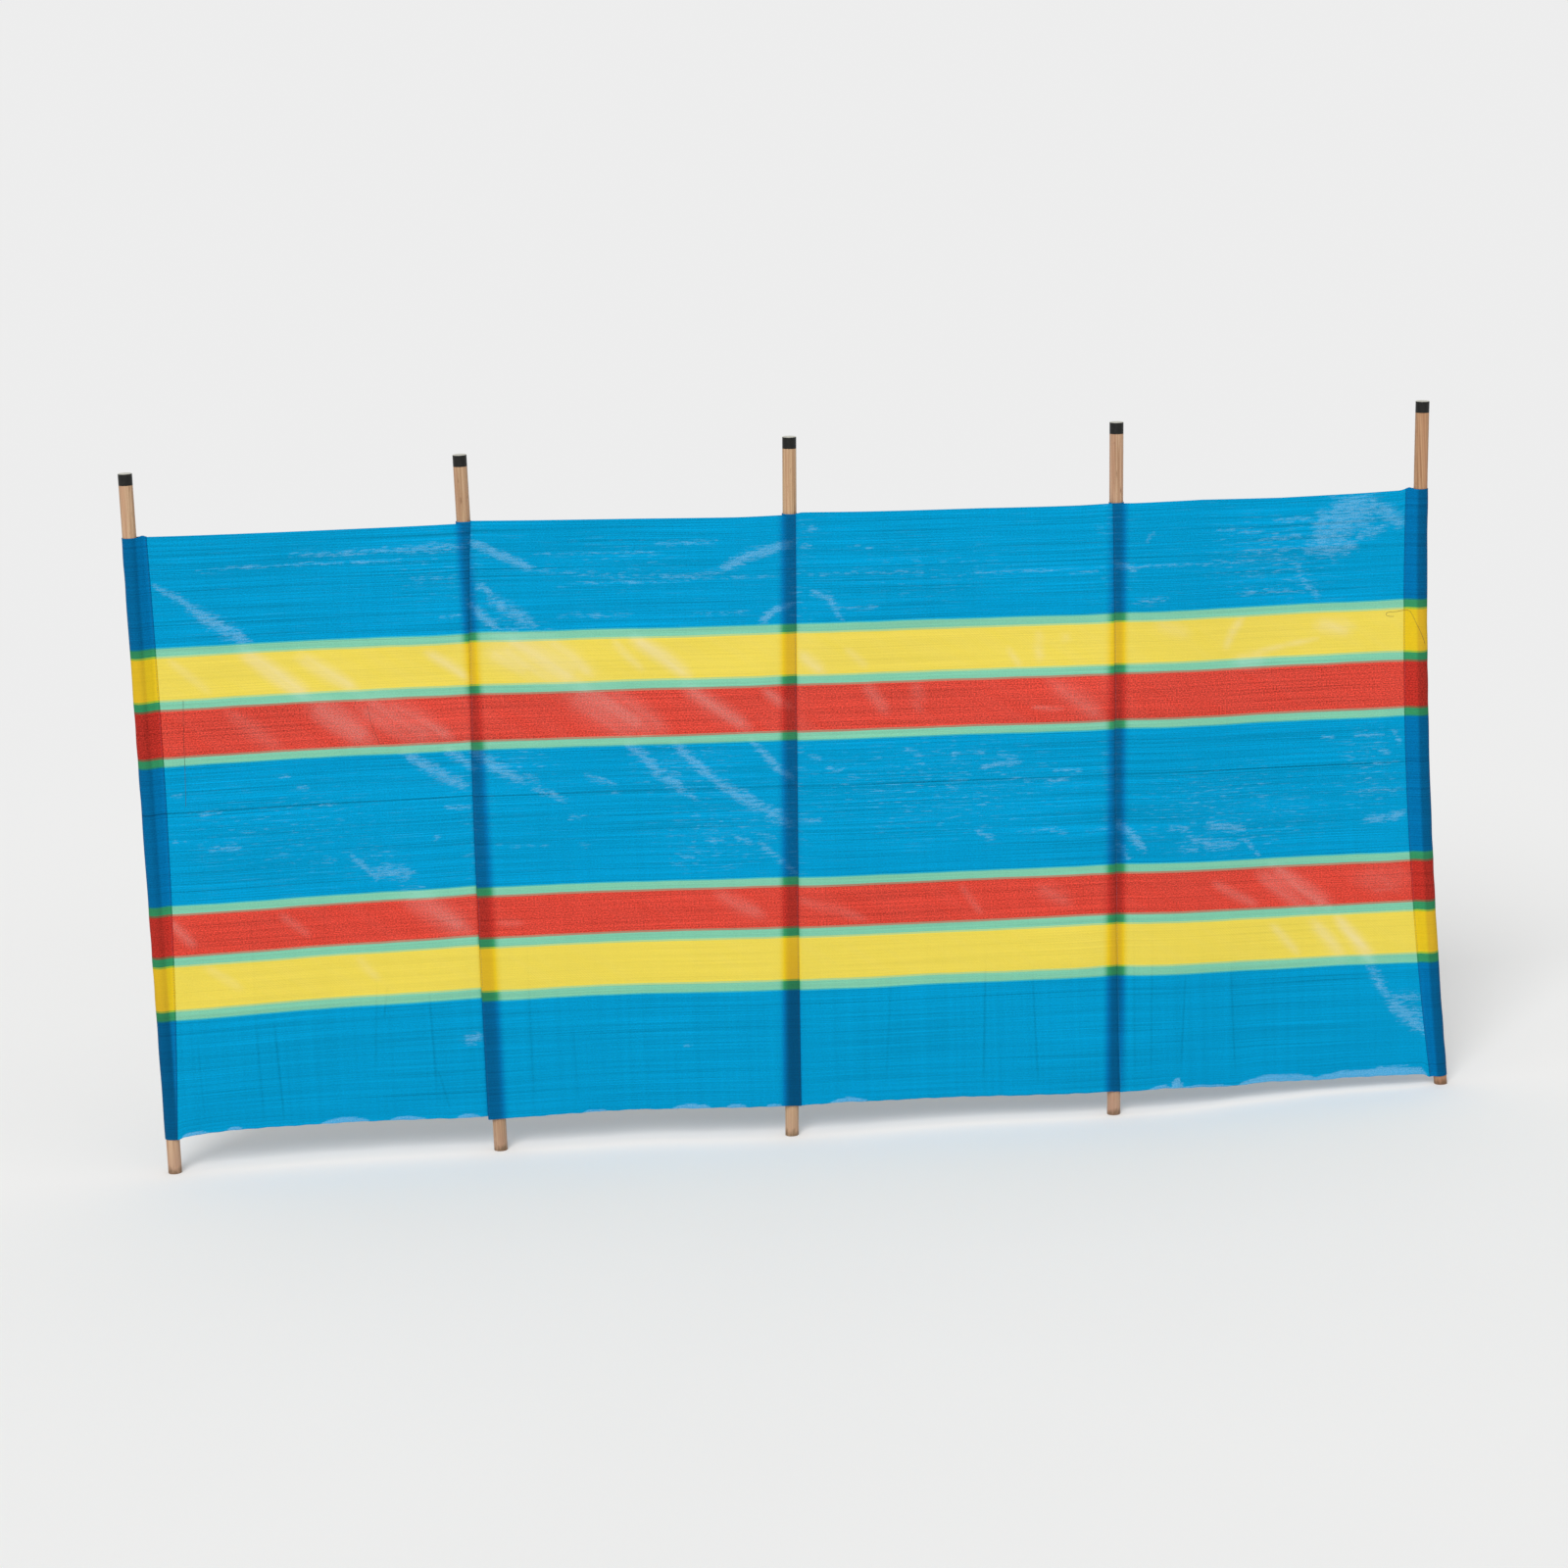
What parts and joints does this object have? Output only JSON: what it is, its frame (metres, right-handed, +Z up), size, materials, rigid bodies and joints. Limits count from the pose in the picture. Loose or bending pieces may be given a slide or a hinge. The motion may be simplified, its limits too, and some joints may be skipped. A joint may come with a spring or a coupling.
{
  "type": "beach windbreak",
  "caption": "Free-standing run of striped woven cloth on round wooden poles with plastic caps, the cloth sewn into sleeves round the poles, which stand in the ground.",
  "frame": {"origin": "centre of the middle pole's round foot at ground level", "axes": "+X along the cloth to the right seen from the front, +Z up; the front of the cloth faces -Y"},
  "size_m": [2.4031, 0.0789, 1.2982],
  "materials": {
    "pole_wood": "sanded, unvarnished",
    "cap_plastic": "satin black",
    "striped_cloth": "woven polypropylene tape, satin, lets light through, striped blue, green, yellow and red"
  },
  "bodies": {
    "root": {"pole_1": "pole_wood", "pole_2": "pole_wood", "pole_3": "pole_wood", "pole_4": "pole_wood", "pole_5": "pole_wood", "cap_1": "cap_plastic", "cap_2": "cap_plastic", "cap_3": "cap_plastic", "cap_4": "cap_plastic", "cap_5": "cap_plastic", "sleeve_1": "striped_cloth", "sleeve_2": "striped_cloth", "sleeve_3": "striped_cloth", "sleeve_4": "striped_cloth", "sleeve_5": "striped_cloth", "panel_1": "striped_cloth", "panel_2": "striped_cloth", "panel_3": "striped_cloth", "panel_4": "striped_cloth"}
  },
  "joints": []
}
